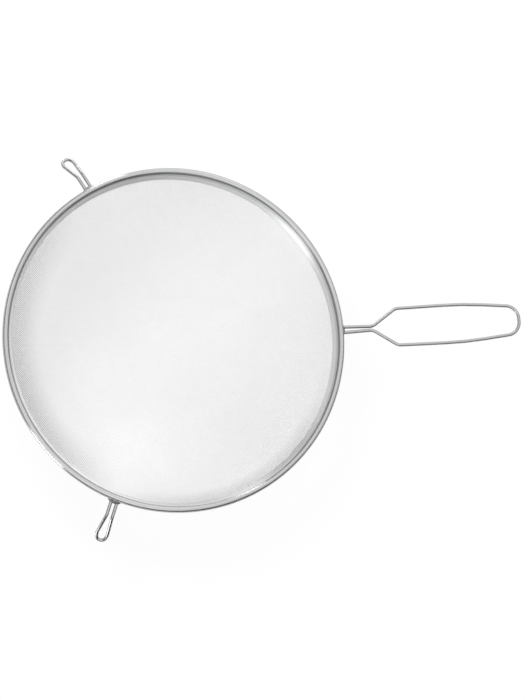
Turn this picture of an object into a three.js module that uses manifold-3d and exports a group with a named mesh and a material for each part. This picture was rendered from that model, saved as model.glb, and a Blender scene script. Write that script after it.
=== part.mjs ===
// Handled sieve: a shallow bowl of woven steel wire, clamped in a rolled steel rim, with a bent-wire
// handle on one side and two small wire rest loops opposite it. Millimetres, +Z up.
// The origin is the middle of the flat that the bowl stands on, and the handle points along +X.
import * as THREE from "three";
import { mergeGeometries, mergeVertices } from "three/addons/utils/BufferGeometryUtils.js";
import Module from "manifold-3d";

// Rim: a steel strip whose upper part is curled round a core wire, with the cloth's edge inside
const rimDiameter = 260;
const stripThickness = 0.5;
const coreWire = 2;
const skirtWidth = 7.35;
const skirtLean = 13;
const clampGap = 0.2;
const throatGap = 0.3;

// Bowl: woven cloth, twice its wire thick, pressed to a shallow dome with a small flat
const clothWire = 0.28;
const clothPitch = 1.27;
const bowlDepth = 49.4;
const bottomFlat = 44;
const clothWrap = 220;

// Openings: a plain grid that stands for the cloth's own, each as open to its pitch as the weave
const openingsAcross = 10;
const openingsBorder = 3;

// Handle: one wire bent to a long loop, both ends turned along the rim
const handleWire = 2.6;
const handleReach = 142.5;
const neckLength = 24;
const neckGap = 1.9;
const pinchGap = 0.3;
const flareLength = 19;
const gripWidth = 30.8;
const gripLength = 54;
const gripEndWidth = 32;
const tipWidth = 23.4;
const tipBend = 9;
const flareBend = 7.7;
const shoulderBend = 300;
const handleFoot = 13;

// Rest loops: one wire each, a straight neck and then an eye that droops to hook on a pot's edge
const loopWire = 2.6;
const loopNeck = 11;
const loopGap = 1.9;
const eyeLength = 17.2;
const noseLength = 5;
const eyeWidth = 10.8;
const noseWidth = 8;
const throatBend = 6.7;
const eyeBend = 4.7;
const noseBend = 1.9;
const loopDroop = 38;
const droopBend = 5;
const loopLean = 3;
const loopAngle = 115.4;
const loopFoot = 11;

// Both wires: the inside of the bend into a foot, and the gap from a foot up to the rim
const footBend = 3.2;
const footGap = 0.3;

// Facets
const ringSides = 72;
const bowlSteps = 6;
const borderSides = 36;
const curlSteps = 10;
const wrapSteps = 5;
const coreSides = 8;
const wireSides = 12;
const bendStep = 20;
const droopSteps = 2;

// Places that follow from the sizes above
const rad = THREE.MathUtils.degToRad;
const rimRadius = rimDiameter / 2;
const clothThickness = 2 * clothWire;
const wrapRadius = coreWire / 2 + clampGap + clothThickness / 2;
const curlRadius = wrapRadius + clothThickness / 2 + clampGap + stripThickness / 2;
const beadRadius = curlRadius + stripThickness / 2;
const beadCentre = rimRadius - beadRadius;
const lean = rad(skirtLean);
const skirtDown = new THREE.Vector2(-Math.sin(lean), -Math.cos(lean));
const curlStart = Math.PI - lean;
const skirtDrop = skirtWidth * Math.cos(lean) - curlRadius * Math.sin(lean);
const beadHeight = bowlDepth + skirtDrop;
const bead = new THREE.Vector2(beadCentre, beadHeight);

const wasm = await Module();
wasm.setup();

const steel = (color, roughness) =>
  new THREE.MeshStandardMaterial({ color, roughness, metalness: 1 });

// The droop of a wire that stays flat
const level = { start: 0, radius: 1, angle: 0 };

// The points of an arc round a centre, from one angle to another in equal steps
function arcPoints(centre, radius, from, to, steps) {
  return Array.from({ length: steps + 1 }, (_, i) => {
    const angle = from + ((to - from) * i) / steps;
    return new THREE.Vector2(
      centre.x + radius * Math.cos(angle),
      centre.y + radius * Math.sin(angle),
    );
  });
}

// The closed outline of sheet of one thickness along a middle line, mitred at each point
function sheetOutline(line, thickness) {
  const left = [];
  const right = [];
  line.forEach((point, i) => {
    const before = line[Math.max(i - 1, 0)];
    const after = line[Math.min(i + 1, line.length - 1)];
    const into = point.clone().sub(before).normalize();
    const out = after.clone().sub(point).normalize();
    const along = into.clone().add(out).normalize();
    const side = new THREE.Vector2(-along.y, along.x);
    const whole = i === 0 || i === line.length - 1;
    const mitre = whole ? 1 : Math.sqrt((1 + into.dot(out)) / 2);
    side.multiplyScalar(thickness / 2 / mitre);
    left.push(point.clone().add(side));
    right.push(point.clone().sub(side));
  });
  return [...right, ...left.reverse()];
}

// A ring or dish turned round the Z axis: the profile starts and ends on the axis, or is closed here
function turned(profile) {
  const closed = profile[0].x > 0 ? [...profile, profile[0]] : profile;
  const geometry = new THREE.LatheGeometry(closed, ringSides);
  return geometry.rotateX(Math.PI / 2);
}

// A closed geometry as a solid for cutting
function solid(geometry) {
  const bare = geometry.clone();
  bare.deleteAttribute("normal");
  bare.deleteAttribute("uv");
  const closed = mergeVertices(bare);
  const mesh = new wasm.Mesh({
    numProp: 3,
    vertProperties: new Float32Array(closed.attributes.position.array),
    triVerts: new Uint32Array(closed.index.array),
  });
  return new wasm.Manifold(mesh);
}

// What is left of a geometry when a solid is taken out of it
function cut(geometry, cutter) {
  const mesh = solid(geometry).subtract(cutter).getMesh();
  const rest = new THREE.BufferGeometry();
  rest.setAttribute("position", new THREE.BufferAttribute(mesh.vertProperties, 3));
  rest.setIndex(new THREE.BufferAttribute(mesh.triVerts, 1));
  const faceted = rest.toNonIndexed();
  faceted.computeVertexNormals();
  return faceted;
}

// Square bars in a grid, trimmed to a round: those whose middles lie inside it
function roundGrid(radius, height) {
  const pitch = (2 * radius) / openingsAcross;
  const side = pitch * (1 - clothWire / clothPitch);
  const middles = Array.from({ length: openingsAcross }, (_, i) => (i + 0.5) * pitch - radius);
  const bars = middles.flatMap((x) =>
    middles
      .filter((y) => Math.hypot(x, y) < radius)
      .map((y) => new THREE.BoxGeometry(side, side, height).translate(x, y, 0)),
  );
  const round = new THREE.CylinderGeometry(radius, radius, 2 * height, borderSides).rotateX(Math.PI / 2);
  return solid(mergeGeometries(bars)).intersect(solid(round));
}

// Stations, each a place and a direction, along a line of corners that are rounded to their bends
function bentStations(corners) {
  const points = corners.map((corner) => new THREE.Vector2(corner.x, corner.y));
  const last = points.length - 1;
  const heading = (i) => points[i + 1].clone().sub(points[i]).normalize();
  const stations = [{ place: points[0], direction: heading(0) }];
  for (let i = 1; i < last; i++) {
    const into = heading(i - 1);
    const out = heading(i);
    const turn = into.angleTo(out) * Math.sign(into.cross(out));
    const trim = corners[i].bend * Math.tan(Math.abs(turn) / 2);
    const start = points[i].clone().addScaledVector(into, -trim);
    const inward = new THREE.Vector2(-into.y, into.x).multiplyScalar(Math.sign(turn));
    const centre = start.clone().addScaledVector(inward, corners[i].bend);
    const steps = Math.ceil(Math.abs(turn) / rad(bendStep));
    for (let k = 0; k <= steps; k++) {
      const angle = (turn * k) / steps;
      stations.push({
        place: start.clone().rotateAround(centre, angle),
        direction: into.clone().rotateAround(new THREE.Vector2(), angle),
      });
    }
  }
  stations.push({ place: points[last], direction: heading(last - 1) });
  return stations;
}

// The stations with one more wherever the wire crosses one of the given distances from the axis
function crossedStations(stations, distances) {
  return stations.flatMap((station, i) => {
    const before = stations[i - 1];
    if (!before) return [station];
    const run = station.place.x - before.place.x;
    const shares = distances
      .map((distance) => (distance - before.place.x) / run)
      .filter((share) => share > 0.001 && share < 0.999)
      .sort((a, b) => a - b);
    const added = shares.map((share) => ({
      place: before.place.clone().lerp(station.place, share),
      direction: before.direction.clone().lerp(station.direction, share).normalize(),
    }));
    return [...added, station];
  });
}

// A wire path with a section at each station: flat, or flat as far as a droop that bends it down
class WirePath extends THREE.Curve {
  constructor(corners, height, droop) {
    super();
    this.droop = droop;
    this.height = height;
    const flat = bentStations(corners);
    const turns = Array.from({ length: droopSteps + 1 }, (_, i) => (droop.angle * i) / droopSteps);
    const distances = turns.map((turn) => droop.start + droop.radius * turn);
    this.stations = droop.angle > 0 ? crossedStations(flat, distances) : flat;
  }

  station(t) {
    return this.stations[Math.round(t * (this.stations.length - 1))];
  }

  turnAt(x) {
    return THREE.MathUtils.clamp((x - this.droop.start) / this.droop.radius, 0, this.droop.angle);
  }

  getPointAt(t) {
    const { place } = this.station(t);
    const { start, radius } = this.droop;
    const turn = this.turnAt(place.x);
    const rest = place.x - start - radius * turn;
    const across = start + radius * Math.sin(turn) + rest * Math.cos(turn);
    const down = radius * (1 - Math.cos(turn)) + rest * Math.sin(turn);
    return new THREE.Vector3(across, place.y, this.height - down);
  }

  getTangentAt(t) {
    const { place, direction } = this.station(t);
    const turn = this.turnAt(place.x);
    const across = direction.x * Math.cos(turn);
    return new THREE.Vector3(across, direction.y, -direction.x * Math.sin(turn));
  }
}

// Round wire, bent along a line of corners that starts below the bead
function bentWire(corners, diameter, droop = level) {
  const height = beadHeight - beadRadius - footGap - diameter / 2;
  const path = new WirePath(corners, height, droop);
  const section = new THREE.Shape().absarc(0, 0, diameter / 2, 0, 2 * Math.PI);
  return new THREE.ExtrudeGeometry(section, {
    extrudePath: path,
    steps: path.stations.length - 1,
    curveSegments: wireSides / 2,
  });
}

// Half a wire's corners and their mirror image, as one line from foot to foot
function mirrored(half) {
  const other = half.map((corner) => ({ ...corner, y: -corner.y }));
  return [...half, ...other.reverse()];
}

// The two corners of a foot: its cut end and its bend into the strand, both under the bead
function footCorners(strandOffset, footLength, diameter) {
  const end = strandOffset + footLength;
  return [
    { x: Math.sqrt(beadCentre ** 2 - end ** 2), y: end },
    { x: beadCentre, y: strandOffset, bend: footBend + diameter / 2 },
  ];
}

// Steel strip: a leaning skirt inside, curled outwards over the core wire until it meets the cloth
function rimBand() {
  const hold = wrapRadius - clothThickness / 2 - throatGap;
  const curlEnd = curlStart - 2 * Math.PI + Math.acos(hold / beadRadius);
  const curl = arcPoints(bead, curlRadius, curlStart, curlEnd, curlSteps);
  const skirtFoot = curl[0].clone().addScaledVector(skirtDown, skirtWidth);
  return turned(sheetOutline([skirtFoot, ...curl], stripThickness));
}

// Wire hoop that stiffens the rim, inside the curl
function rimCoreWire() {
  return turned(arcPoints(bead, coreWire / 2, 0, 2 * Math.PI, coreSides).slice(1));
}

// Woven cloth: flat bottom, dome, then an edge that runs up behind the skirt and round the core wire
function meshBowl() {
  const middle = clothThickness / 2;
  const wrap = arcPoints(bead, wrapRadius, curlStart, curlStart - rad(clothWrap), wrapSteps);
  const mouth = wrap[0].clone().addScaledVector(skirtDown, skirtWidth + clampGap);
  const flatEdge = new THREE.Vector2(bottomFlat / 2, middle);
  const rise = mouth.y - flatEdge.y;
  const domeCentre = new THREE.Vector2(
    0,
    (mouth.lengthSq() - flatEdge.lengthSq()) / (2 * rise),
  );
  const domeRadius = domeCentre.distanceTo(mouth);
  const angleOf = (point) => Math.atan2(point.y - domeCentre.y, point.x);
  const dome = arcPoints(domeCentre, domeRadius, angleOf(flatEdge), angleOf(mouth), bowlSteps);
  const line = [new THREE.Vector2(0, middle), ...dome, ...wrap];
  const shell = turned(sheetOutline(line, clothThickness));
  return cut(shell, roundGrid(mouth.x - openingsBorder, 2 * rimDiameter));
}

// Handle: feet under the bead, a neck that closes, a flare, a long grip and a rounded tip
function handleLoop() {
  const half = handleWire / 2;
  const neck = (neckGap + handleWire) / 2;
  const pinch = (pinchGap + handleWire) / 2;
  const flareStart = rimRadius + neckLength;
  const gripStart = flareStart + flareLength;
  return bentWire(
    mirrored([
      ...footCorners(neck, handleFoot, handleWire),
      { x: flareStart, y: pinch, bend: flareBend + half },
      { x: gripStart, y: gripWidth / 2 - half, bend: flareBend + half },
      { x: gripStart + gripLength, y: gripEndWidth / 2 - half, bend: shoulderBend + half },
      { x: rimRadius + handleReach - half, y: tipWidth / 2 - half, bend: tipBend + half },
    ]),
    handleWire,
  );
}

// Rest loop, along +X before it is turned to its place: feet under the bead, neck, eye and nose
function restLoop() {
  const half = loopWire / 2;
  const neck = (loopGap + loopWire) / 2;
  const eyeStart = rimRadius + loopNeck;
  const eyeEnd = eyeStart + eyeLength;
  const corners = mirrored([
    ...footCorners(neck, loopFoot, loopWire),
    { x: eyeStart, y: neck, bend: throatBend + half },
    { x: eyeEnd, y: eyeWidth / 2 - half, bend: eyeBend + half },
    { x: eyeEnd + noseLength, y: noseWidth / 2 - half, bend: noseBend + half },
  ]);
  const outside = corners.filter((corner) => corner.x > beadCentre);
  outside.forEach((corner) => {
    corner.y += (corner.x - beadCentre) * Math.tan(rad(loopLean));
  });
  const angle = rad(loopDroop);
  const radius = droopBend + half;
  const start = eyeStart - radius * Math.tan(angle / 2);
  return bentWire(corners, loopWire, { start, radius, angle });
}

const sieve = new THREE.Group();

function addPiece(name, geometry, material, turn = 0) {
  const piece = new THREE.Mesh(geometry, material);
  piece.name = name;
  piece.rotation.z = rad(turn);
  sieve.add(piece);
}

addPiece("rim_band", rimBand(), steel(0xc9cbcc, 0.25));
addPiece("rim_core_wire", rimCoreWire(), steel(0xa9abad, 0.4));
addPiece("mesh_bowl", meshBowl(), steel(0xd4d6d7, 0.35));
addPiece("handle_wire", handleLoop(), steel(0xc2c4c6, 0.22));
addPiece("rest_loop_right", restLoop(), steel(0xbfc1c3, 0.24), loopAngle);
addPiece("rest_loop_left", restLoop(), steel(0xbfc1c3, 0.24), -loopAngle);

export default sieve;
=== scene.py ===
"""Looks of a handled sieve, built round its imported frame.

A bowl of woven steel wire sits in a rolled steel rim, with a bent wire handle on one side and two
wire rest loops opposite it. Each button of the sidebar panel builds one group of pieces, in metres.
"""

import math
from types import SimpleNamespace

import bmesh
import bpy
import numpy as np
from bpy.props import FloatProperty, FloatVectorProperty, IntProperty, PointerProperty
from mathutils import Matrix, Vector, noise


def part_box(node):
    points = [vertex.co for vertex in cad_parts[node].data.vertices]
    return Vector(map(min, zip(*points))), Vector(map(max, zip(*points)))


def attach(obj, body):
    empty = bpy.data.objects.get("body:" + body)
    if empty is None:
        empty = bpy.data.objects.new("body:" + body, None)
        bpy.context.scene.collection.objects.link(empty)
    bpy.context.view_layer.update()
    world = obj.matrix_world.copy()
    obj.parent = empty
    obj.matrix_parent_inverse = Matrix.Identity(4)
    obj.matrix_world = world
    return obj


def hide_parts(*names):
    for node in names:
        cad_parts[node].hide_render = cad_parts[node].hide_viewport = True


bl_info = {
    "name": "Handled Sieve",
    "version": (1, 0, 0),
    "blender": (4, 5, 0),
    "location": "View3D > Sidebar > Sieve",
    "description": "Builds the looks of a handled sieve round its packed frame",
    "category": "Mesh",
}

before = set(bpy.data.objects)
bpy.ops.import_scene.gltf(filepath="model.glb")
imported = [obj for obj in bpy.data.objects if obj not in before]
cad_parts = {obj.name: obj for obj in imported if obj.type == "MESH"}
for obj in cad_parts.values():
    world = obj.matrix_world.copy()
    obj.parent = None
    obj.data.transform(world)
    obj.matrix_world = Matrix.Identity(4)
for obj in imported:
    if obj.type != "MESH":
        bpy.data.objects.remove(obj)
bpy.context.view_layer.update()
rim_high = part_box("rim_band")[1]

MM = 0.001
BAKE_MAP = "OFBake"
# Vertices nearer than this become one, in the rim and in the cloth's thin wires.
RIM_MERGE, CLOTH_MERGE = 1e-6, 1e-7


def length(name, description, millimetres):
    """A size, given in millimetres and kept in metres."""
    return FloatProperty(
        name=name,
        description=description,
        default=millimetres * MM,
        min=0.0,
        precision=5,
        subtype="DISTANCE",
        unit="LENGTH",
    )


def turn(name, description, degrees):
    """An angle, given in degrees and kept in radians."""
    return FloatProperty(
        name=name,
        description=description,
        default=math.radians(degrees),
        subtype="ANGLE",
        unit="ROTATION",
    )


def colour(name, description, value):
    """A colour of the steel or the stage."""
    return FloatVectorProperty(
        name=name,
        description=description,
        default=value,
        size=3,
        min=0.0,
        max=1.0,
        subtype="COLOR",
    )


def share(name, description, value):
    """A share between nothing and all."""
    return FloatProperty(
        name=name,
        description=description,
        default=value,
        min=0.0,
        max=1.0,
        subtype="FACTOR",
    )


def steps(name, description, value):
    """A count of steps."""
    return IntProperty(name=name, description=description, default=value, min=3)


class RimSizes(bpy.types.PropertyGroup):
    """Steel strip rolled over a core wire, with the cloth's edge inside"""

    outside: length("Outside radius", "From the axis to the outside of the bead", rim_high.x / MM)
    top: length("Top", "Height of the top of the bead", rim_high.z / MM)
    strip: length("Strip thickness", "Thickness of the steel strip", 0.5)
    core: length("Core wire", "Diameter of the wire inside the bead", 2.0)
    clamp: length("Clamp gap", "Play on either side of the cloth", 0.2)
    throat: length("Throat gap", "Play where the cloth enters the bead", 0.3)
    skirt: length("Skirt width", "Width of the band that lines the bowl's mouth", 4.35)
    lean: turn("Skirt lean", "Lean of that band from the upright", 13.0)
    lip: length("Lip width", "Width of the band's foot, turned in over the cloth", 3.0)
    lip_lean: turn("Lip lean", "Lean of that foot from the upright", 44.0)
    lip_bend: length("Lip bend", "Bend between the band and its foot", 1.2)
    around: steps("Steps around", "Steps of the strip around the rim", 240)
    across: steps("Steps across", "Steps of the strip round the bead", 30)
    bend_steps: steps("Bend steps", "Steps of the bend into the lip", 5)
    edge_steps: steps("Edge steps", "Steps of the strip's round edges", 6)


class ClothSizes(bpy.types.PropertyGroup):
    """Plain-woven wire cloth, pressed to a shallow dome"""

    wire: length("Cloth wire", "Diameter of each wire of the weave", 0.28)
    pitch: length("Pitch", "Distance from wire to wire", 1.27)
    flat: length("Flat radius", "Radius of the flat that the bowl stands on", 22.0)
    drop: length("Mouth drop", "From the bead to the mouth of the dome", 7.55)
    turned: turn("Weave turn", "Turn of the weave from the handle's direction", 45.0)


class HandleSizes(bpy.types.PropertyGroup):
    """One wire bent to a long loop, both ends turned along the rim"""

    wire: length("Wire", "Diameter of the handle's wire", 2.6)
    reach: length("Reach", "From the rim to the tip", 142.5)
    neck: length("Neck length", "From the rim to the flare", 24.0)
    neck_gap: length("Neck gap", "Gap between the strands at the rim", 1.9)
    pinch_gap: length("Pinch gap", "Gap between the strands at the flare", 0.3)
    flare: length("Flare length", "Length of the flare", 19.0)
    grip_width: length("Grip width", "Width of the grip at the flare", 30.8)
    grip: length("Grip length", "From the flare to the shoulders", 54.0)
    grip_end: length("Grip end width", "Width of the grip at its shoulders", 32.0)
    tip_width: length("Tip width", "Width where the tip is turned", 23.4)
    tip_bend: length("Tip bend", "Inside of the tip's bends", 9.0)
    flare_bend: length("Flare bend", "Inside of the flare's bends", 7.7)
    shoulder_bend: length("Shoulder bend", "Inside of the shoulders' bends", 300.0)
    foot: length("Foot", "Length of each end along the rim", 13.0)
    foot_bend: length("Foot bend", "Inside of the bend into a foot", 3.2)


class LoopSizes(bpy.types.PropertyGroup):
    """One wire bent to a neck and an eye that droops to hook on a pot's edge"""

    wire: length("Wire", "Diameter of the loop's wire", 2.6)
    neck: length("Neck length", "From the rim to the eye", 11.0)
    gap: length("Neck gap", "Gap between the strands of the neck", 1.9)
    eye: length("Eye length", "From the neck to the eye's widest place", 17.2)
    nose: length("Nose length", "From the widest place to the tip", 5.0)
    eye_width: length("Eye width", "Greatest width of the eye", 10.8)
    nose_width: length("Nose width", "Width where the tip is turned", 8.0)
    throat_bend: length("Throat bend", "Inside of the bend from neck to eye", 6.7)
    eye_bend: length("Eye bend", "Inside of the bend at the widest place", 4.7)
    nose_bend: length("Nose bend", "Inside of the tip's bends", 1.9)
    droop: turn("Droop", "How far the eye is bent down", 38.0)
    droop_bend: length("Droop bend", "Inside of the bend down", 5.0)
    lean: turn("Lean", "Sideways lean of the loop", 3.0)
    place: turn("Place", "Turn of each loop from the handle", 115.4)
    foot: length("Foot", "Length of each end along the rim", 11.0)
    foot_bend: length("Foot bend", "Inside of the bend into a foot", 3.2)


class WeldSizes(bpy.types.PropertyGroup):
    """Weld metal between the feet and the bead"""

    gap: length("Gap", "Gap between the bead and a foot", 0.3)
    seam_width: length("Seam width", "Width of the seam along a foot", 2.5)
    seam_height: length("Seam height", "Height of that seam", 1.24)
    seam_short: length("Seam shortfall", "How much shorter a seam is than its foot", 3.5)
    seam_shift: length("Seam shift", "From a foot's middle to its seam's middle", 0.125)
    web_width: length("Web width", "Width of the web between the strands", 5.0)
    web_height: length("Web height", "Height of that web", 2.0)
    web_past: length("Web overlap", "How far the web reaches past each strand's middle", 2.99)
    web_out: length("Web place", "From the bead's middle out to the web's", 1.7)
    web_down: length("Web depth", "From the seams down to the web's middle", 0.55)
    lump: length("Lumps", "Height of the lumps in the weld metal", 0.08)


class Finishes(bpy.types.PropertyGroup):
    """Colours of the steel and of the stage"""

    strip: colour("Strip steel", "Rolled strip of the rim", (0.52, 0.522, 0.524))
    # Painted highlight: the skirt and lip are the strip's own steel, made lighter than the bead.
    skirt: colour("Skirt steel", "Brushed band inside the mouth", (0.72, 0.722, 0.724))
    lip: colour("Lip steel", "Foot of that band, turned in over the cloth", (0.92, 0.922, 0.924))
    # Painted shade: this dark line stands in for the shade in the crease where the skirt meets the
    # bead.
    crease_shade: colour("Crease", "Dark line where the skirt meets the bead", (0.29, 0.29, 0.29))
    cloth: colour("Cloth steel", "Bright wire of the weave", (0.95, 0.952, 0.954))
    # Painted shade: this grey darkens the cloth beside the rim where shade falls.
    painted_shade: colour("Film", "Grey film on the cloth beside the rim", (0.2, 0.2, 0.2))
    wire: colour("Wire steel", "Drawn wire of the handle and loops", (0.45, 0.452, 0.454))
    core: colour("Core steel", "Core wire inside the bead", (0.5, 0.505, 0.51))
    weld: colour("Weld steel", "Weld metal at the feet", (0.27, 0.267, 0.264))
    floor: colour("Floor", "Pale floor under the sieve", (0.92, 0.92, 0.92))
    glow: share("Floor white", "Share of the floor that shows as plain white", 0.86)
    mirror: share("Mirrored white", "Share of the floor that the steel mirrors as plain white", 0.3)


class SieveSettings(bpy.types.PropertyGroup):
    """Sizes and finishes of the sieve"""

    rim: PointerProperty(type=RimSizes)
    cloth: PointerProperty(type=ClothSizes)
    handle: PointerProperty(type=HandleSizes)
    loop: PointerProperty(type=LoopSizes)
    weld: PointerProperty(type=WeldSizes)
    finish: PointerProperty(type=Finishes)


def bead_places(sieve):
    """The bead's radii and centre and the skirt's directions, as they follow from the sizes."""
    rim = sieve.rim
    wrap = rim.core / 2 + rim.clamp + sieve.cloth.wire
    curl = wrap + sieve.cloth.wire + rim.clamp + rim.strip / 2
    bead = curl + rim.strip / 2
    hold = wrap - sieve.cloth.wire - rim.throat
    start = math.pi - rim.lean
    return SimpleNamespace(
        wrap=wrap,
        curl=curl,
        bead=bead,
        across=rim.outside - bead,
        height=rim.top - bead,
        start=start,
        sweep=2 * math.pi - math.acos(hold / bead),
        down=Vector((-math.sin(rim.lean), 0.0, -math.cos(rim.lean))),
        inward=Vector((math.cos(start), 0.0, math.sin(start))),
    )


def foot_height(sieve, wire):
    """Height of a wire that lies under the bead with a little weld between."""
    bead = bead_places(sieve)
    return bead.height - bead.bead - sieve.weld.gap - wire / 2


def direction(azimuth, elevation=0.0):
    """The unit vector to an azimuth and an elevation in degrees."""
    a, e = math.radians(azimuth), math.radians(elevation)
    return Vector((math.cos(a) * math.cos(e), math.sin(a) * math.cos(e), math.sin(e)))


def feed(tree, made, inputs):
    """Set or link the sockets of a node."""
    for name, value in inputs.items():
        if isinstance(value, bpy.types.NodeSocket):
            tree.links.new(value, made.inputs[name])
        else:
            made.inputs[name].default_value = value


def node(tree, kind, inputs=None, **settings):
    """A shader node with its settings made and its sockets set or linked."""
    made = tree.nodes.new(kind)
    for name, value in settings.items():
        setattr(made, name, value)
    feed(tree, made, inputs or {})
    return made


def worked(tree, operation, *values):
    """The result of one step of arithmetic."""
    return node(tree, "ShaderNodeMath", dict(enumerate(values)), operation=operation).outputs[0]


def vector_worked(tree, operation, *values):
    """The outputs of one step of vector arithmetic."""
    return node(tree, "ShaderNodeVectorMath", dict(enumerate(values)), operation=operation).outputs


def eased(tree, value, none, full, most=1.0):
    """A mask that changes softly from nothing at one value to its most at another."""
    limits = {"Value": value, "From Min": none, "From Max": full, "To Max": most}
    mask = node(tree, "ShaderNodeMapRange", limits, interpolation_type="SMOOTHSTEP")
    return mask.outputs["Result"]


def between(tree, factor, low, high):
    """A value between two, by a factor that varies over the surface."""
    limits = {"Value": factor, "To Min": low, "To Max": high}
    return node(tree, "ShaderNodeMapRange", limits).outputs["Result"]


# Places of the colour sockets on a Mix node, which has each name once for every kind of data.
MIX_FACTOR, MIX_FIRST, MIX_SECOND, MIX_RESULT = 0, 6, 7, 2


def mixed(tree, factor, first, second):
    """A colour between two, by a factor that varies over the surface."""
    sockets = {MIX_FACTOR: factor, MIX_FIRST: first, MIX_SECOND: second}
    return node(tree, "ShaderNodeMix", sockets, data_type="RGBA").outputs[MIX_RESULT]


def relief(tree, height, strength, millimetres):
    """A normal that follows a fine relief, its greatest height in millimetres."""
    sockets = {"Strength": strength, "Distance": millimetres * MM, "Height": height}
    return node(tree, "ShaderNodeBump", sockets).outputs["Normal"]


def shade(value, by=1.0):
    """A colour with alpha, made lighter or darker."""
    return (*(min(channel * by, 1.0) for channel in value), 1.0)


def new_group(name, inputs, outputs):
    """An empty shader node group with its sockets, what it is given, and its output node."""
    tree = bpy.data.node_groups.new(name, "ShaderNodeTree")
    for label, kind, value in inputs:
        socket = tree.interface.new_socket(label, in_out="INPUT", socket_type=kind)
        socket.default_value = value
    for label, kind in outputs:
        tree.interface.new_socket(label, in_out="OUTPUT", socket_type=kind)
    return tree, tree.nodes.new("NodeGroupInput").outputs, tree.nodes.new("NodeGroupOutput")


def drawn_lines_group():
    """Fine lines that drawing and rolling leave along the steel."""
    found = bpy.data.node_groups.get("drawn_lines")
    if found:
        return found
    tree, given, out = new_group(
        "drawn_lines",
        [("Vector", "NodeSocketVector", (0, 0, 0)), ("Contrast", "NodeSocketFloat", 0.5)],
        [("Lines", "NodeSocketFloat")],
    )
    fine = node(tree, "ShaderNodeTexNoise", {
        "Vector": given["Vector"],
        "Scale": 1.0,
        "Detail": 4.0,
    })
    lines = node(tree, "ShaderNodeMapRange", {
        "Value": fine.outputs["Fac"],
        "From Min": 0.25,
        "From Max": 0.75,
        "To Min": worked(tree, "SUBTRACT", 0.5, given["Contrast"]),
        "To Max": worked(tree, "ADD", 0.5, given["Contrast"]),
    })
    feed(tree, out, {"Lines": lines.outputs["Result"]})
    return tree


def wipe_marks_group():
    """Soft patches that wiping and drying leave on steel."""
    found = bpy.data.node_groups.get("wipe_marks")
    if found:
        return found
    tree, given, out = new_group(
        "wipe_marks",
        [("Vector", "NodeSocketVector", (0, 0, 0)), ("Scale", "NodeSocketFloat", 30.0)],
        [("Marks", "NodeSocketFloat")],
    )
    patch = node(tree, "ShaderNodeTexNoise", {
        "Vector": given["Vector"],
        "Scale": given["Scale"],
        "Detail": 3.0,
        "Distortion": 0.8,
    })
    feed(tree, out, {"Marks": eased(tree, patch.outputs["Fac"], 0.38, 0.68)})
    return tree


def heat_tint_group():
    """Dark bloom that welding leaves round a root."""
    found = bpy.data.node_groups.get("heat_tint")
    if found:
        return found
    tree, given, out = new_group(
        "heat_tint",
        [
            ("Vector", "NodeSocketVector", (0, 0, 0)),
            ("Root", "NodeSocketVector", (0, 0, 0)),
            ("Reach", "NodeSocketFloat", 0.01),
        ],
        [("Tint", "NodeSocketColor"), ("Mask", "NodeSocketFloat")],
    )
    away = vector_worked(tree, "DISTANCE", given["Vector"], given["Root"])["Value"]
    wobble = node(tree, "ShaderNodeTexNoise", {
        "Vector": given["Vector"],
        "Scale": 420.0,
        "Detail": 2.0,
    })
    edge = worked(tree, "MULTIPLY_ADD", wobble.outputs["Fac"], given["Reach"], given["Reach"])
    near = eased(tree, away, edge, 0.0)
    # The bloom's colours, at its edge, at the root and part of the way in.
    bloom = node(tree, "ShaderNodeValToRGB", {"Fac": near})
    colours = bloom.color_ramp.elements
    colours[0].color = (0.6, 0.592, 0.58, 1)
    colours[1].color = (0.16, 0.157, 0.155, 1)
    colours.new(0.45).color = (0.36, 0.35, 0.342, 1)
    feed(tree, out, {"Tint": bloom.outputs["Color"], "Mask": near})
    return tree


def edge_shade_group():
    """A mask beside the rim, on the side that the aim points to, where shade is painted on the
    cloth and on the rim's strip.
    """
    found = bpy.data.node_groups.get("edge_shade")
    if found:
        return found
    tree, given, out = new_group(
        "edge_shade",
        [
            ("Vector", "NodeSocketVector", (0, 0, 0)),
            ("Aim", "NodeSocketVector", (1, 0, 0)),
            ("Spread", "NodeSocketFloat", 0.5),
            ("Inner", "NodeSocketFloat", 0.09),
            ("Outer", "NodeSocketFloat", 0.12),
        ],
        [("Mask", "NodeSocketFloat")],
    )
    flat = vector_worked(tree, "MULTIPLY", given["Vector"], (1, 1, 0))["Vector"]
    far = vector_worked(tree, "LENGTH", flat)["Value"]
    unit = vector_worked(tree, "NORMALIZE", flat)["Vector"]
    facing = vector_worked(tree, "DOT_PRODUCT", unit, given["Aim"])["Value"]
    sideways = eased(tree, facing, given["Spread"], 1.0)
    outwards = eased(tree, far, given["Inner"], given["Outer"])
    feed(tree, out, {"Mask": worked(tree, "MULTIPLY", sideways, outwards)})
    return tree


def new_material(name):
    """A metal material with its tree, its shader and its Object coordinates."""
    material = bpy.data.materials.new(name)
    material.use_nodes = True
    tree = material.node_tree
    shader = tree.nodes["Principled BSDF"]
    shader.inputs["Metallic"].default_value = 1.0
    places = node(tree, "ShaderNodeTexCoord").outputs["Object"]
    return material, tree, shader, places


def group(tree, made, inputs):
    """The outputs of a node group that is placed in a material."""
    return node(tree, "ShaderNodeGroup", inputs, node_tree=made).outputs


def drawn_lines(tree, run, scale, contrast):
    """Lines on coordinates that a scale draws out along each axis."""
    drawn = node(tree, "ShaderNodeMapping", {"Vector": run, "Scale": scale}).outputs["Vector"]
    return group(tree, drawn_lines_group(), {"Vector": drawn, "Contrast": contrast})["Lines"]


def wipe_marks(tree, places, scale):
    """The mask of the wiped patches, finer as the scale grows."""
    return group(tree, wipe_marks_group(), {"Vector": places, "Scale": scale})["Marks"]


def heat_tint(tree, places, root, reach):
    """The colour and mask of the bloom round a root, its reach in millimetres."""
    return group(tree, heat_tint_group(), {"Vector": places, "Root": root, "Reach": reach * MM})


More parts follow.
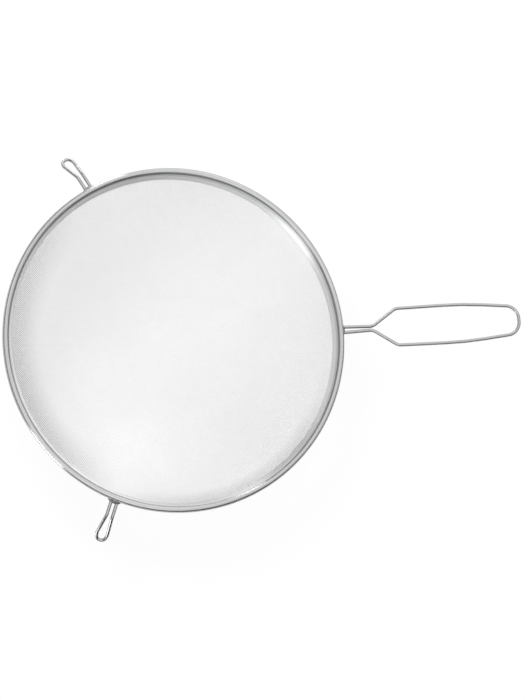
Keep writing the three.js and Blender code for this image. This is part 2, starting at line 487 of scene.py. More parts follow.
def edge_shade(tree, places, azimuth, spread, inner, outer):
    """The mask of painted shade beside the rim, its place given in degrees and millimetres."""
    return group(tree, edge_shade_group(), {
        "Vector": places,
        "Aim": direction(azimuth),
        "Spread": math.cos(math.radians(spread)),
        "Inner": inner * MM,
        "Outer": outer * MM,
    })["Mask"]


def steel_finish(tree, shader, places, base, line_scale, rough, marks_scale):
    """Drawn or rolled steel with lines along the map and a relief; returns colour and roughness."""
    run = node(tree, "ShaderNodeUVMap", uv_map=BAKE_MAP).outputs["UV"]
    lines = drawn_lines(tree, run, (*line_scale, 1.0), contrast=0.45)
    marks = wipe_marks(tree, places, marks_scale)
    lined = mixed(tree, lines, shade(base, 0.9), shade(base, 1.06))
    wiped_and_shaded = mixed(tree, marks, lined, shade(base, 0.97))
    feed(tree, shader, {"Normal": relief(tree, lines, strength=0.12, millimetres=0.06)})
    return wiped_and_shaded, between(tree, marks, *rough)


# Zones of the strip by V, which starts at the lip's tip: where each one begins and is full.
SKIRT_ZONE = (0.2, 0.165)
LIP_ZONE = (0.1, 0.08)
# The painted shade in the crease between skirt and bead: its V, how far off it begins and is full,
# and its share.
CREASE_PLACE = 0.2
CREASE_ZONE = (0.036, 0.012)
CREASE_SHADE_SHARE = 0.85
# The stretch of the rim where the crease's painted shade is taken off and painted shade darkens the
# lip: azimuth and spread in degrees, inner and outer radius in mm.
SHADE_SWAP_STRETCH = (285, 50, 100, 110)
# How much of the crease's painted shade that stretch takes off.
SHADE_SWAP_OFF = 0.8
# How much rougher the brushed skirt and the crease are than the bead.
SKIRT_ROUGHER, CREASE_ROUGHER = 0.28, 0.3


def strip_steel(sieve):
    """Rolled strip: bright on the bead; skirt and lip brushed and painted lighter, a painted
    highlight; painted shade in the crease and on part of the lip.
    """
    material, tree, shader, places = new_material("rolled_strip_steel")
    finish = sieve.finish
    base, rough = steel_finish(
        tree,
        shader,
        places,
        finish.strip,
        line_scale=(46.0, 60.0),
        rough=(0.17, 0.25),
        marks_scale=38.0,
    )
    run = node(tree, "ShaderNodeUVMap", uv_map=BAKE_MAP).outputs["UV"]
    around = node(tree, "ShaderNodeSeparateXYZ", {"Vector": run}).outputs["Y"]
    skirt = eased(tree, around, *SKIRT_ZONE)
    lip = eased(tree, around, *LIP_ZONE)
    # Mask of the stretch where the painted shade moves from the crease to the lip.
    wiped_and_shaded = edge_shade(tree, places, *SHADE_SWAP_STRETCH)
    away = worked(tree, "ABSOLUTE", worked(tree, "SUBTRACT", around, CREASE_PLACE))
    left = worked(tree, "MULTIPLY_ADD", wiped_and_shaded, -SHADE_SWAP_OFF, 1.0)
    # Painted shade along the crease, with less of it on the stretch that the mask marks.
    crease_shade = worked(tree, "MULTIPLY", eased(tree, away, *CREASE_ZONE, CREASE_SHADE_SHARE), left)
    # Painted highlight: the skirt and lip are lighter than the bead.
    banded = mixed(tree, skirt, base, shade(finish.skirt))
    # Painted shade: the lip is darker on that stretch.
    shaded_lip = mixed(tree, wiped_and_shaded, shade(finish.lip), shade(finish.skirt, 0.9))
    lipped = mixed(tree, lip, banded, shaded_lip)
    for zone, more in ((skirt, SKIRT_ROUGHER), (crease_shade, CREASE_ROUGHER)):
        rough = worked(tree, "MULTIPLY_ADD", zone, more, rough)
    grain = node(tree, "ShaderNodeTangent", direction_type="UV_MAP", uv_map=BAKE_MAP)
    feed(tree, shader, {
        "Base Color": mixed(tree, crease_shade, lipped, shade(finish.crease_shade)),
        "Roughness": rough,
        "Tangent": grain.outputs["Tangent"],
        "Anisotropic": 0.9,
        "Anisotropic Rotation": 0.25,
    })
    return material


def wire_steel(sieve, name, root):
    """Drawn wire with a bloom of heat where it is welded to the rim."""
    material, tree, shader, places = new_material(name)
    base, rough = steel_finish(
        tree,
        shader,
        places,
        sieve.finish.wire,
        line_scale=(40.0, 9.0),
        rough=(0.2, 0.32),
        marks_scale=60.0,
    )
    heat = heat_tint(tree, places, root, reach=5.5)
    tinted = mixed(tree, heat["Mask"], base, heat["Tint"])
    feed(tree, shader, {"Base Color": tinted, "Roughness": rough})
    return material


# Painted shade on the cloth beside the rim, standing in for the shade that falls there: azimuth and
# spread in degrees, inner and outer radius in mm, greatest share.
CLOTH_SHADES = (
    (183, 68, 94, 123, 0.9),
    (297, 55, 112, 122, 0.6),
)
# Lines to the metre on the cloth's wires, along each axis.
CLOTH_LINES = (900.0, 900.0, 900.0)


def cloth_steel(sieve):
    """Bright cloth wire, a little duller in patches, with painted shade beside the rim."""
    material, tree, shader, places = new_material("woven_wire_steel")
    base = sieve.finish.cloth
    marks = wipe_marks(tree, places, scale=24.0)
    lines = drawn_lines(tree, places, CLOTH_LINES, contrast=0.4)
    grain = mixed(tree, lines, shade(base, 0.92), shade(base, 1.05))
    tone = mixed(tree, marks, grain, shade(base, 0.95))
    # Each stretch paints shade on the cloth beside the rim.
    for *stretch, most in CLOTH_SHADES:
        painted_shade = worked(tree, "MULTIPLY", edge_shade(tree, places, *stretch), most)
        tone = mixed(tree, painted_shade, tone, shade(sieve.finish.painted_shade))
    feed(tree, shader, {"Base Color": tone, "Roughness": between(tree, marks, 0.28, 0.36)})
    return material


def core_steel(sieve):
    """Dull wire inside the bead."""
    material, tree, shader, places = new_material("core_wire_steel")
    base = sieve.finish.core
    marks = wipe_marks(tree, places, scale=90.0)
    tone = mixed(tree, marks, shade(base, 1.1), shade(base, 0.8))
    feed(tree, shader, {"Base Color": tone, "Roughness": between(tree, marks, 0.34, 0.5)})
    return material


def weld_steel(sieve, name, root, tone):
    """Weld metal: dark, uneven and scaled by heat, made lighter or darker at each root as painted
    light and shade.
    """
    material, tree, shader, places = new_material(name)
    # Painted light and shade: the tone makes the same weld metal lighter or darker at each root.
    base = [channel * tone for channel in sieve.finish.weld]
    scale = wipe_marks(tree, places, scale=520.0)
    heat = heat_tint(tree, places, root, reach=6.0)
    scaled = mixed(tree, scale, shade(base, 1.35), shade(base, 0.75))
    burnt = worked(tree, "MULTIPLY", heat["Mask"], 0.5)
    feed(tree, shader, {
        "Base Color": mixed(tree, burnt, scaled, heat["Tint"]),
        "Roughness": between(tree, scale, 0.34, 0.52),
        "Normal": relief(tree, scale, strength=0.3, millimetres=0.1),
    })
    return material


def placed(name, data):
    """A new object of the scene."""
    made = bpy.data.objects.new(name, data)
    bpy.context.collection.objects.link(made)
    return made


def add_piece(name, mesh, material, replaced=None):
    """Puts a piece on the frame, at the origin, in place of a CAD node if one is named."""
    piece = placed(name, mesh)
    mesh.materials.clear()
    mesh.materials.append(material)
    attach(piece, "root")
    if replaced:
        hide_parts(replaced)


def finished_mesh(bm, name):
    """A smooth mesh from a bmesh, with its faces outwards."""
    bmesh.ops.recalc_face_normals(bm, faces=bm.faces[:])
    for face in bm.faces:
        face.smooth = True
    mesh = bpy.data.meshes.new(name)
    bm.to_mesh(mesh)
    bm.free()
    return mesh


def run_layers(bm):
    """The values that each vertex keeps for the bake's map."""
    return bm.verts.layers.float.new("along"), bm.verts.layers.float.new("around")


# Radius of a wire's end on the bake's map.
CAP_RADIUS = 0.002


def lay_map(bm, along, around):
    """The bake's map: U follows the length of the steel, and V goes round its section."""
    uv = bm.loops.layers.uv.new(BAKE_MAP)
    for face in bm.faces:
        spots = [[loop.vert[along], loop.vert[around]] for loop in face.loops]
        is_end = len(spots) > 4
        if is_end:
            for spot in spots:
                swing = 2 * math.pi * spot[1]
                spot[0] += CAP_RADIUS * math.cos(swing)
                spot[1] = 0.5 + CAP_RADIUS * math.sin(swing)
        for axis in range(2):
            if max(s[axis] for s in spots) - min(s[axis] for s in spots) > 0.5:
                for spot in spots:
                    spot[axis] += spot[axis] < 0.5
        for loop, spot in zip(face.loops, spots):
            loop[uv].uv = spot


def swept(bm, places, radius, sides, layers):
    """A closed round bar, its section carried from place to place; returns its two end rings."""
    along, around = layers
    ring = bmesh.ops.create_circle(
        bm, cap_ends=True, segments=sides, radius=radius, matrix=places[0]
    )["verts"]
    for index, vert in enumerate(ring):
        vert[around] = index / sides
    edges = list({edge for vert in ring for edge in vert.link_edges})
    first = edges
    for index, (before, after) in enumerate(zip(places, places[1:]), 1):
        made = bmesh.ops.extrude_edge_only(bm, edges=edges)["geom"]
        ring = [part for part in made if isinstance(part, bmesh.types.BMVert)]
        edges = [
            part for part in made if isinstance(part, bmesh.types.BMEdge) and part.is_boundary
        ]
        bmesh.ops.transform(bm, matrix=after @ before.inverted(), verts=ring)
        for vert in ring:
            vert[along] = index / (len(places) - 1)
    bmesh.ops.edgeloop_fill(bm, edges=edges)
    return first + edges


def bent_line(corners, finest):
    """Stations (x, y, heading) along a line of (x, y, bend) corners, each turned in small steps."""
    points = [Vector(corner[:2]) for corner in corners]
    heading = math.atan2(*(points[1] - points[0]).yx)
    stations = [(points[0].x, points[0].y, heading)]
    for before, (x, y, bend), after in zip(points, corners[1:-1], points[2:]):
        corner = Vector((x, y))
        into = (corner - before).normalized()
        out = (after - corner).normalized()
        turned = math.atan2(into.cross(out), into.dot(out))
        start = corner - into * bend * math.tan(abs(turned) / 2)
        centre = start + Vector((-into.y, into.x)) * math.copysign(bend, turned)
        count = math.ceil(abs(turned) / finest)
        for step in range(count + 1):
            part = turned * step / count
            spot = centre + Matrix.Rotation(part, 2) @ (start - centre)
            stations.append((spot.x, spot.y, heading + part))
        heading += turned
    stations.append((points[-1].x, points[-1].y, heading))
    return stations


def crossed(stations, distances):
    """The stations with one more wherever the line crosses one of the distances along X."""
    shortest_run, least_part = 1e-9, 0.001
    full = stations[:1]
    for before, after in zip(stations, stations[1:]):
        run = after[0] - before[0]
        parts = sorted((d - before[0]) / run for d in distances if abs(run) > shortest_run)
        for part in parts:
            if least_part < part < 1 - least_part:
                full.append(tuple(b + (a - b) * part for b, a in zip(before, after)))
        full.append(after)
    return full


def mirrored(half):
    """Half a wire's corners and their mirror image, from foot to foot."""
    return half + [(x, -y, bend) for x, y, bend in reversed(half)]


def foot_corners(bead, offset, foot, bend):
    """The cut end of a foot and its bend into the strand, both under the bead."""
    end = offset + foot
    return [(math.sqrt(bead.across**2 - end**2), end, 0.0), (bead.across, offset, bend)]


def wire_places(stations, height, droop=None):
    """The matrices of a wire's sections, bent down past the droop's start where one is given."""
    places = []
    for x, y, heading in stations:
        place = (
            Matrix.Translation((x, y, height))
            @ Matrix.Rotation(heading, 4, "Z")
            @ Matrix.Rotation(math.pi / 2, 4, "Y")
        )
        if droop:
            run = min(max(x - droop.start, 0.0), droop.radius * droop.angle)
            hinge = Vector((droop.start, 0.0, height - droop.radius))
            place = (
                Matrix.Translation(hinge)
                @ Matrix.Rotation(run / droop.radius, 4, "Y")
                @ Matrix.Translation(-hinge - Vector((run, 0.0, 0.0)))
                @ place
            )
        places.append(place)
    return places


def wire_mesh(name, places, wire, cut=0.35 * MM, sides=20):
    """Round wire through its places, with its cut ends eased."""
    bm = bmesh.new()
    layers = run_layers(bm)
    rims = swept(bm, places, wire / 2, sides, layers)
    bmesh.ops.bevel(
        bm, geom=rims, offset=cut, segments=3, profile=0.5, affect="EDGES", material=-1
    )
    lay_map(bm, *layers)
    return finished_mesh(bm, name)


def strip_section(bm, sieve):
    """The strip's section from the lip's tip round the bead and back; returns its vertices."""
    rim = sieve.rim
    bead = bead_places(sieve)
    centre = Vector((bead.across, 0.0, bead.height))
    half = rim.strip / 2
    bent = rim.lip_lean - rim.lean
    up = Vector((-math.cos(rim.lip_lean), 0.0, math.sin(rim.lip_lean)))
    along_lip = Vector((-math.sin(rim.lip_lean), 0.0, -math.cos(rim.lip_lean)))
    foot = centre + bead.inward * bead.curl + bead.down * rim.skirt
    bend_start = foot - bead.down * rim.lip_bend * math.tan(bent / 2)
    bend_centre = bend_start + bead.inward * rim.lip_bend
    bend_end = bend_centre - up * rim.lip_bend
    tip = foot + along_lip * (rim.lip - half)
    curl_end = centre + Matrix.Rotation(bead.sweep, 3, "Y") @ (bead.inward * bead.curl)
    section = [bm.verts.new(tip + up * half)]

    def draw_to(place):
        made = bmesh.ops.extrude_vert_indiv(bm, verts=section[-1:])["verts"]
        made[0].co = place
        section.extend(made)

    def draw_round(middle, angle, count):
        before = len(bm.verts)
        bmesh.ops.spin(
            bm,
            geom=section[-1:],
            cent=middle,
            axis=(0.0, 1.0, 0.0),
            angle=angle,
            steps=count,
            use_duplicate=False,
        )
        bm.verts.ensure_lookup_table()
        section.extend(bm.verts[before:])

    draw_to(bend_end + up * half)
    draw_round(bend_centre, -bent, rim.bend_steps)
    draw_to(centre + bead.inward * bead.bead)
    draw_round(centre, bead.sweep, rim.across)
    draw_round(curl_end, math.pi, rim.edge_steps)
    draw_round(centre, -bead.sweep, rim.across // 2)
    draw_to(bend_start - bead.inward * half)
    draw_round(bend_centre, bent, rim.bend_steps)
    draw_to(tip - up * half)
    draw_round(tip, math.pi, rim.edge_steps)
    return section


class SIEVE_OT_rim(bpy.types.Operator):
    """Roll the rim's strip over its core wire"""

    bl_idname = "sieve.rim"
    bl_label = "Rolled Rim"

    def execute(self, context):
        sieve = context.scene.sieve
        bm = bmesh.new()
        along, around = run_layers(bm)
        section = strip_section(bm, sieve)
        runs = [0.0]
        for before, after in zip(section, section[1:]):
            runs.append(runs[-1] + (after.co - before.co).length)
        for vert, run in zip(section, runs):
            vert[around] = run / runs[-1]
        bmesh.ops.remove_doubles(bm, verts=bm.verts[:], dist=RIM_MERGE)
        bmesh.ops.spin(
            bm,
            geom=bm.verts[:] + bm.edges[:],
            cent=(0.0, 0.0, 0.0),
            axis=(0.0, 0.0, 1.0),
            angle=2 * math.pi,
            steps=sieve.rim.around,
            use_merge=True,
            use_duplicate=False,
        )
        bmesh.ops.remove_doubles(bm, verts=bm.verts[:], dist=RIM_MERGE)
        for vert in bm.verts:
            vert[along] = math.atan2(vert.co.y, vert.co.x) / (2 * math.pi) % 1.0
        lay_map(bm, along, around)
        mesh = finished_mesh(bm, "rolled_rim")
        add_piece("rolled_rim", mesh, strip_steel(sieve), "rim_band")
        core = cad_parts["rim_core_wire"]
        core.data.materials.clear()
        core.data.materials.append(core_steel(sieve))
        return {"FINISHED"}


def bowl_profile(sieve):
    """The dome's radius, and arrays along the cloth's middle from the axis to the bead.

    The arrays are distance, radius, height and the two parts of the normal.
    """
    flat_steps, dome_steps, wall_steps, hidden_steps = 40, 200, 30, 12
    hidden_turn = math.radians(40)
    bead = bead_places(sieve)
    middle = sieve.cloth.wire
    flat = sieve.cloth.flat
    centre = Vector((bead.across, 0.0, bead.height))
    top = centre + bead.inward * bead.wrap
    mouth = top + bead.down * sieve.cloth.drop
    rise = mouth.z - middle
    dome = (mouth.x**2 + mouth.z**2 - flat**2 - middle**2) / (2 * rise)
    radius = math.hypot(mouth.x, mouth.z - dome)
    first, last = math.asin(flat / radius), math.asin(mouth.x / radius)
    arc = np.linspace(first, last, dome_steps)
    hidden = np.linspace(bead.start, bead.start - hidden_turn, hidden_steps)
    across = np.concatenate([
        np.linspace(0, flat, flat_steps, endpoint=False),
        radius * np.sin(arc),
        np.linspace(mouth.x, top.x, wall_steps)[1:],
        bead.across + bead.wrap * np.cos(hidden)[1:],
    ])
    height = np.concatenate([
        np.full(flat_steps, middle),
        dome - radius * np.cos(arc),
        np.linspace(mouth.z, top.z, wall_steps)[1:],
        bead.height + bead.wrap * np.sin(hidden)[1:],
    ])
    run = np.concatenate([[0.0], np.cumsum(np.hypot(np.diff(across), np.diff(height)))])
    out = np.gradient(across, run), np.gradient(height, run)
    return radius, run, across, height, -out[1], out[0]


def woven_net(radius, pitch, reach):
    """A quarter of a net with equal sides, pressed on a ball from its lowest point outwards."""
    step = 2 * math.asin(pitch / (2 * radius))
    lowest = math.cos(reach / radius)
    net = {}
    row = 0
    while row * step < reach / radius:
        net[row, 0] = Vector((math.sin(row * step), 0.0, -math.cos(row * step)))
        net[0, row] = Vector((0.0, math.sin(row * step), -math.cos(row * step)))
        row += 1
    for i in range(1, row):
        for j in range(1, row):
            sides = net.get((i, j - 1)), net.get((i - 1, j))
            if None in sides:
                break
            spot = net[i - 1, j - 1].reflect(sides[0].cross(sides[1]).normalized())
            if -spot.z < lowest:
                break
            net[i, j] = spot
    return net


def cloth_wires(sieve):
    """The middle lines of the cloth's wires, as two lists of arrays of points, warp and weft."""
    cloth = sieve.cloth
    radius, run, across, height, lean_out, lean_up = bowl_profile(sieve)
    net = woven_net(radius, cloth.pitch, run[-1])
    spots = {}
    for (i, j), spot in net.items():
        for sx, sy in ((1, 1), (-1, 1), (1, -1), (-1, -1)):
            spots[sx * i, sy * j] = (sx * spot.x, sy * spot.y, spot.z)
    keys = np.array(list(spots))
    balls = np.array(list(spots.values()))
    far = radius * np.arccos(np.clip(-balls[:, 2], -1, 1))
    heading = np.arctan2(balls[:, 1], balls[:, 0]) + cloth.turned
    over = np.where(keys.sum(1) % 2 == 0, cloth.wire / 2, -cloth.wire / 2)

    def lines(crossing, ordered, side):
        reach = np.interp(far, run, across) + side * over * np.interp(far, run, lean_out)
        level = np.interp(far, run, height) + side * over * np.interp(far, run, lean_up)
        points = np.stack([reach * np.cos(heading), reach * np.sin(heading), level], 1)
        order = np.lexsort((keys[:, ordered], keys[:, crossing]))
        breaks = np.flatnonzero(np.diff(keys[order, crossing])) + 1
        return [line for line in np.split(points[order], breaks) if len(line) > 2]

    return lines(0, 1, 1), lines(1, 0, -1)


def wire_bundle(name, lines, wire, spread):
    """A mesh of thin bars along the lines, with the bake's map laid flat from above."""
    data = bpy.data.curves.new(name, "CURVE")
    data.dimensions = "3D"
    data.bevel_depth = wire / 2
    data.bevel_resolution = 0
    data.use_fill_caps = True
    data.twist_mode = "Z_UP"
    for line in lines:
        spline = data.splines.new("POLY")
        spline.points.add(len(line) - 1)
        spline.points.foreach_set("co", np.column_stack([line, np.ones(len(line))]).ravel())
        spline.use_smooth = True
    strand = placed(name, data)
    graph = bpy.context.evaluated_depsgraph_get()
    mesh = bpy.data.meshes.new_from_object(strand.evaluated_get(graph), depsgraph=graph)
    bpy.data.objects.remove(strand)
    bpy.data.curves.remove(data)
    bm = bmesh.new()
    bm.from_mesh(mesh)
    bmesh.ops.remove_doubles(bm, verts=bm.verts[:], dist=CLOTH_MERGE)
    bm.to_mesh(mesh)
    bm.free()
    while mesh.uv_layers:
        mesh.uv_layers.remove(mesh.uv_layers[0])
    spots = np.empty(len(mesh.vertices) * 3)
    mesh.vertices.foreach_get("co", spots)
    corners = np.empty(len(mesh.loops), dtype=np.int32)
    mesh.loops.foreach_get("vertex_index", corners)
    flat = 0.5 + spots.reshape(-1, 3)[corners, :2] / (2 * spread)
    mesh.uv_layers.new(name=BAKE_MAP).uv.foreach_set("vector", flat.ravel())
    mesh.name = name
    return mesh


class SIEVE_OT_cloth(bpy.types.Operator):
    """Weave the bowl's wire cloth"""

    bl_idname = "sieve.cloth"
    bl_label = "Woven Bowl"

    def execute(self, context):
        sieve = context.scene.sieve
        material = cloth_steel(sieve)
        for name, lines in zip(("warp", "weft"), cloth_wires(sieve)):
            middle = len(lines) // 2
            for index, part in enumerate((lines[:middle], lines[middle:]), 1):
                label = f"cloth_{name}_{index}"
                mesh = wire_bundle(label, part, sieve.cloth.wire, sieve.rim.outside)
                add_piece(label, mesh, material, "mesh_bowl")
        return {"FINISHED"}


class SIEVE_OT_handle(bpy.types.Operator):
    """Bend the handle from one wire"""

    bl_idname = "sieve.handle"
    bl_label = "Wire Handle"

    def execute(self, context):
        sieve = context.scene.sieve
        size = sieve.handle
        bead = bead_places(sieve)
        half = size.wire / 2
        flare = sieve.rim.outside + size.neck
        grip = flare + size.flare
        tip = sieve.rim.outside + size.reach - half
        neck = (size.neck_gap + size.wire) / 2
        corners = mirrored(
            foot_corners(bead, neck, size.foot, size.foot_bend + half)
            + [
                (flare, (size.pinch_gap + size.wire) / 2, size.flare_bend + half),
                (grip, size.grip_width / 2 - half, size.flare_bend + half),
                (grip + size.grip, size.grip_end / 2 - half, size.shoulder_bend + half),
                (tip, size.tip_width / 2 - half, size.tip_bend + half),
            ]
        )
        height = foot_height(sieve, size.wire)
        places = wire_places(bent_line(corners, finest=math.radians(5)), height)
        mesh = wire_mesh("handle_loop", places, size.wire)
        material = wire_steel(sieve, "drawn_wire_handle", (bead.across, 0.0, height))
        add_piece("handle_loop", mesh, material, "handle_wire")
        return {"FINISHED"}


# Steps of the bend that lets the loops' eyes droop.
DROOP_STEPS = 8


class SIEVE_OT_rest_loops(bpy.types.Operator):
    """Bend the two rest loops, one wire each"""

    bl_idname = "sieve.rest_loops"
    bl_label = "Rest Loops"

    def execute(self, context):
        sieve = context.scene.sieve
        size = sieve.loop
        bead = bead_places(sieve)
        half = size.wire / 2
        neck = (size.gap + size.wire) / 2
        eye = sieve.rim.outside + size.neck
        widest = eye + size.eye
        corners = mirrored(
            foot_corners(bead, neck, size.foot, size.foot_bend + half)
            + [
                (eye, neck, size.throat_bend + half),
                (widest, size.eye_width / 2 - half, size.eye_bend + half),
                (widest + size.nose, size.nose_width / 2 - half, size.nose_bend + half),
            ]
        )
        side = math.tan(size.lean)
        corners = [(x, y + max(x - bead.across, 0.0) * side, bend) for x, y, bend in corners]
        height = foot_height(sieve, size.wire)
        radius = size.droop_bend + half
        droop = SimpleNamespace(
            start=eye - radius * math.tan(size.droop / 2), radius=radius, angle=size.droop
        )
        drooping = radius * size.droop
        arc = [droop.start + drooping * step / DROOP_STEPS for step in range(DROOP_STEPS + 1)]
        stations = crossed(bent_line(corners, finest=math.radians(6)), arc)
        for side_name, angle in (("right", size.place), ("left", -size.place)):
            swing = Matrix.Rotation(angle, 4, "Z")
            places = [swing @ place for place in wire_places(stations, height, droop)]
            label = f"rest_hook_{side_name}"
            mesh = wire_mesh(label, places, size.wire)
            root = swing @ Vector((bead.across, 0.0, height))
            material = wire_steel(sieve, f"drawn_wire_{side_name}", root)
            add_piece(label, mesh, material, f"rest_loop_{side_name}")
        return {"FINISHED"}


# Half of what a seam swells by at each nugget, and what is left of it at its ends, as shares.
RIPPLE, WELD_TIP = 0.14, 0.1
# Steps along each nugget, and sides of a seam's section.
NUGGET_STEPS, WELD_SIDES = 12, 14
# Lumps to the metre in the weld metal.
LUMPS = 900


def weld_run(bm, layers, middle, spread, place, size, nuggets):
    """A seam of weld metal along the rim, swollen at each nugget and drawn in at its ends."""
    across, height = place
    wide, tall = (side / 2 for side in size)
    count = NUGGET_STEPS * nuggets
    places = []
    for step in range(count + 1):
        part = 2 * step / count - 1
        ripple = 1 - RIPPLE + RIPPLE * math.cos(math.pi * nuggets * (part + 1) + math.pi)
        taper = WELD_TIP + (1 - WELD_TIP) * max(1 - part**4, 0.0) ** 0.5
        scale = ripple * taper
        places.append(
            Matrix.Rotation(middle + part * spread, 4, "Z")
            @ Matrix.Translation((across, 0.0, height))
            @ Matrix.Rotation(-math.pi / 2, 4, "X")
            @ Matrix.Diagonal((wide * scale, tall * scale, 1.0, 1.0))
        )
    swept(bm, places, 1.0, WELD_SIDES, layers)


class SIEVE_OT_welds(bpy.types.Operator):
    """Run the welds that hold the feet under the bead"""

    bl_idname = "sieve.welds"
    bl_label = "Welds"

    def execute(self, context):
        sieve = context.scene.sieve
        handle, loop, weld = sieve.handle, sieve.loop, sieve.weld
        bead = bead_places(sieve)
        level = bead.height - bead.bead - weld.gap / 2
        seam_place = bead.across, level
        seam_size = weld.seam_width, weld.seam_height
        web_place = bead.across + weld.web_out, level - weld.web_down
        web_size = weld.web_width, weld.web_height
        # The last number of each root is painted light and shade: the same weld metal made lighter
        # where light falls and darker where it is shaded.
        roots = (
            ("handle", 0.0, handle.neck_gap, handle.foot, handle.wire, 0.9),
            ("right", loop.place, loop.gap, loop.foot, loop.wire, 1.4),
            ("left", -loop.place, loop.gap, loop.foot, loop.wire, 0.4),
        )
        for name, angle, gap, foot, wire, tone in roots:
            bm = bmesh.new()
            layers = run_layers(bm)
            neck = (gap + wire) / 2
            seam = (foot - weld.seam_short) / 2 / bead.across
            middle = (neck + foot / 2 + weld.seam_shift) / bead.across
            web = (neck + weld.web_past) / bead.across
            for side in (-1, 1):
                weld_run(bm, layers, angle + side * middle, seam, seam_place, seam_size, nuggets=3)
            weld_run(bm, layers, angle, web, web_place, web_size, nuggets=1)
            for vert in bm.verts:
                vert.co += noise.noise_vector(vert.co * LUMPS) * weld.lump
            lay_map(bm, *layers)
            root = Matrix.Rotation(angle, 3, "Z") @ Vector((bead.across, 0.0, level))
            label = f"weld_{name}"
            mesh = finished_mesh(bm, label)
            material = weld_steel(sieve, f"weld_steel_{name}", root, tone)
            add_piece(label, mesh, material)
        return {"FINISHED"}


def soft_light(name, place, target, size, power):
    """A soft light at a place, turned to its target, its height upright."""
    lamp = bpy.data.lights.new(name, "AREA")
    lamp.shape = "RECTANGLE"
    lamp.size, lamp.size_y = size
    lamp.energy = power
    light = placed(name, lamp)
    light.location = place
    light.rotation_euler = (Vector(target) - Vector(place)).to_track_quat("-Z", "Y").to_euler()
    return light


# Soft panels round and over the sieve: azimuth and elevation in degrees, and level.
PANELS = (
    (0, 62, 0.8),
    (120, 62, 1.15),
    (240, 62, 1.35),
    (300, 62, 0.2),
    (0, 35, 0.25),
    (40, 35, 0.85),
    (80, 35, 0.6),
    (160, 35, 0.4),
    (200, 35, 0.25),
    (72, 10, 0.75),
    (108, 10, 0.2),
)
# Level of the room between the panels, and how near a panel's middle its light begins, as a cosine.
ROOM_LEVEL = 0.04
PANEL_EDGE = 0.8


def studio_world():
    """A dim room with soft panels that the steel mirrors."""
    world = bpy.data.worlds.new("studio")
    world.use_nodes = True
    tree = world.node_tree
    tree.nodes.clear()
    toward = node(tree, "ShaderNodeTexCoord").outputs["Generated"]
    lit = ROOM_LEVEL
    for azimuth, elevation, level in PANELS:
        facing = vector_worked(tree, "DOT_PRODUCT", toward, direction(azimuth, elevation))
        lit = worked(tree, "ADD", eased(tree, facing["Value"], PANEL_EDGE, 1.0, level), lit)
    back = node(tree, "ShaderNodeBackground", {"Color": (1, 1, 1, 1), "Strength": lit})
    node(tree, "ShaderNodeOutputWorld", {"Surface": back.outputs[0]})
    return world


def floor_finish(finish):
    """A pale floor that shows as near white and keeps the sieve's shadow."""
    material = bpy.data.materials.new("pale_floor")
    material.use_nodes = True
    tree = material.node_tree
    tree.nodes.clear()
    places = node(tree, "ShaderNodeTexCoord").outputs["Object"]
    marks = wipe_marks(tree, places, scale=3.0)
    tone = mixed(tree, marks, shade(finish.floor), shade(finish.floor, 0.99))
    matt = node(tree, "ShaderNodeBsdfDiffuse", {"Color": tone})
    white = node(tree, "ShaderNodeEmission", {"Color": (1, 1, 1, 1), "Strength": 1.0})
    path = node(tree, "ShaderNodeLightPath").outputs
    part = worked(tree, "MULTIPLY", path["Is Camera Ray"], finish.glow)
    for ray in ("Is Glossy Ray", "Is Transmission Ray"):
        part = worked(tree, "MULTIPLY_ADD", path[ray], finish.mirror, part)
    both = node(tree, "ShaderNodeMixShader", {0: part, 1: matt.outputs[0], 2: white.outputs[0]})
    node(tree, "ShaderNodeOutputMaterial", {"Surface": both.outputs[0]})
    return material


# From the axis to each edge of the floor, in metres.
FLOOR_REACH = 4.0
# The key light and what all lights point at, in metres and watts.
LIGHT_AIM = (0.0, 0.0, 0.03)
KEY_PLACE, KEY_SIZE, KEY_POWER = (-0.8, 1.1, 1.6), (0.8, 0.8), 15.0
# Strips of light beside the sieve: name, azimuth in degrees, width in metres, power in watts.
STRIPS = (
    ("strip_far", 97, 0.3, 2.6),
    ("strip_near", 217, 0.55, 6.0),
)
STRIP_AWAY, STRIP_HEIGHT, STRIP_TALL = 1.6, 0.2, 0.4


def stage_floor(finish):
    """The floor, at the height that the sieve stands on."""
    bm = bmesh.new()
    bmesh.ops.create_grid(bm, x_segments=1, y_segments=1, size=FLOOR_REACH)
    mesh = bpy.data.meshes.new("floor")
    bm.to_mesh(mesh)
    bm.free()
    floor = placed("floor", mesh)
    mesh.materials.append(floor_finish(finish))


def stage_lights():
    """A key light that the steel doesn't mirror, and two strips that it does."""
    key = soft_light("key", KEY_PLACE, LIGHT_AIM, KEY_SIZE, KEY_POWER)
    key.visible_glossy = False
    for name, azimuth, width, power in STRIPS:
        place = direction(azimuth) * STRIP_AWAY + Vector((0.0, 0.0, STRIP_HEIGHT))
        soft_light(name, place, LIGHT_AIM, (width, STRIP_TALL), power)


# The camera: its direction and roll in degrees, its lens in mm, and its place in metres.
VIEW_AZIMUTH, VIEW_ELEVATION, VIEW_ROLL = 207.45, 74.93, 58.31
VIEW_LENS, VIEW_SENSOR = 91.6, 24.0
VIEW_AWAY, VIEW_RIGHT, VIEW_DOWN = 2.0, 0.0661, 0.00737
VIEW_HEIGHT = 0.05
VIEW_END = 20.0


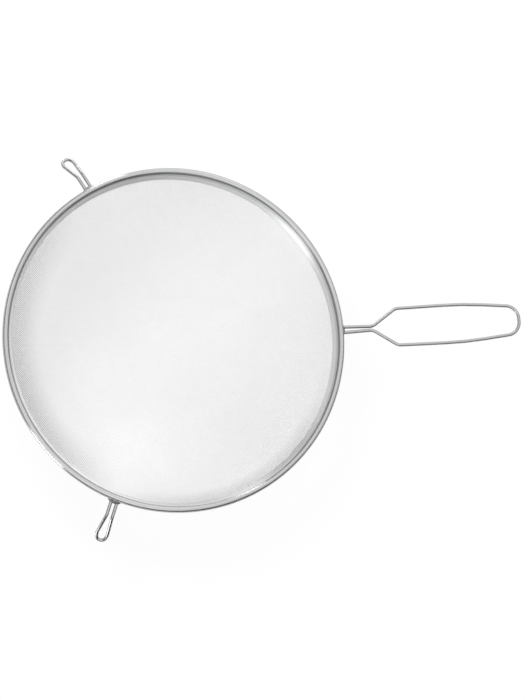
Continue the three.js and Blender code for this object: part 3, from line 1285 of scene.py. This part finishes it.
def stage_camera():
    """The camera, high over the sieve and rolled about its line of sight."""
    lens = bpy.data.cameras.new("camera")
    lens.sensor_fit = "VERTICAL"
    lens.sensor_height = VIEW_SENSOR
    lens.lens = VIEW_LENS
    lens.clip_end = VIEW_END
    camera = placed("camera", lens)
    roll = math.radians(VIEW_ROLL)
    back = direction(VIEW_AZIMUTH, VIEW_ELEVATION)
    level = (-back).cross(Vector((0.0, 0.0, 1.0))).normalized()
    upright = level.cross(-back)
    right = level * math.cos(roll) + upright * math.sin(roll)
    up = upright * math.cos(roll) - level * math.sin(roll)
    spot = back * VIEW_AWAY + right * VIEW_RIGHT - up * VIEW_DOWN
    spot.z += VIEW_HEIGHT
    turned = Matrix((right, up, back)).transposed().to_4x4()
    camera.matrix_world = Matrix.Translation(spot) @ turned
    return camera


class SIEVE_OT_stage(bpy.types.Operator):
    """Set the floor, the lights and the camera"""

    bl_idname = "sieve.stage"
    bl_label = "Stage"

    def execute(self, context):
        scene = context.scene
        stage_floor(scene.sieve.finish)
        stage_lights()
        scene.world = studio_world()
        scene.camera = stage_camera()
        scene.view_settings.view_transform = "Standard"
        return {"FINISHED"}


class SIEVE_PT_build(bpy.types.Panel):
    """Sizes, finishes and building steps of the sieve"""

    bl_idname = "SIEVE_PT_build"
    bl_label = "Handled Sieve"
    bl_space_type = "VIEW_3D"
    bl_region_type = "UI"
    bl_category = "Sieve"

    def draw(self, context):
        sieve = context.scene.sieve
        for part in ("rim", "cloth", "handle", "loop", "weld", "finish"):
            sizes = getattr(sieve, part)
            box = self.layout.box()
            box.label(text=part.title())
            for name in sizes.bl_rna.properties.keys():
                if name not in {"rna_type", "name"}:
                    box.prop(sizes, name)
        for operator in OPERATORS:
            self.layout.operator(operator.bl_idname)


OPERATORS = (
    SIEVE_OT_rim,
    SIEVE_OT_cloth,
    SIEVE_OT_handle,
    SIEVE_OT_rest_loops,
    SIEVE_OT_welds,
    SIEVE_OT_stage,
)
CLASSES = (
    RimSizes,
    ClothSizes,
    HandleSizes,
    LoopSizes,
    WeldSizes,
    Finishes,
    SieveSettings,
    *OPERATORS,
    SIEVE_PT_build,
)


def register():
    for made in CLASSES:
        bpy.utils.register_class(made)
    bpy.types.Scene.sieve = PointerProperty(type=SieveSettings)


def unregister():
    del bpy.types.Scene.sieve
    for made in reversed(CLASSES):
        bpy.utils.unregister_class(made)


def main():
    """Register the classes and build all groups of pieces."""
    register()
    bpy.ops.sieve.rim()
    bpy.ops.sieve.cloth()
    bpy.ops.sieve.handle()
    bpy.ops.sieve.rest_loops()
    bpy.ops.sieve.welds()
    bpy.ops.sieve.stage()


if __name__ == "__main__":
    main()
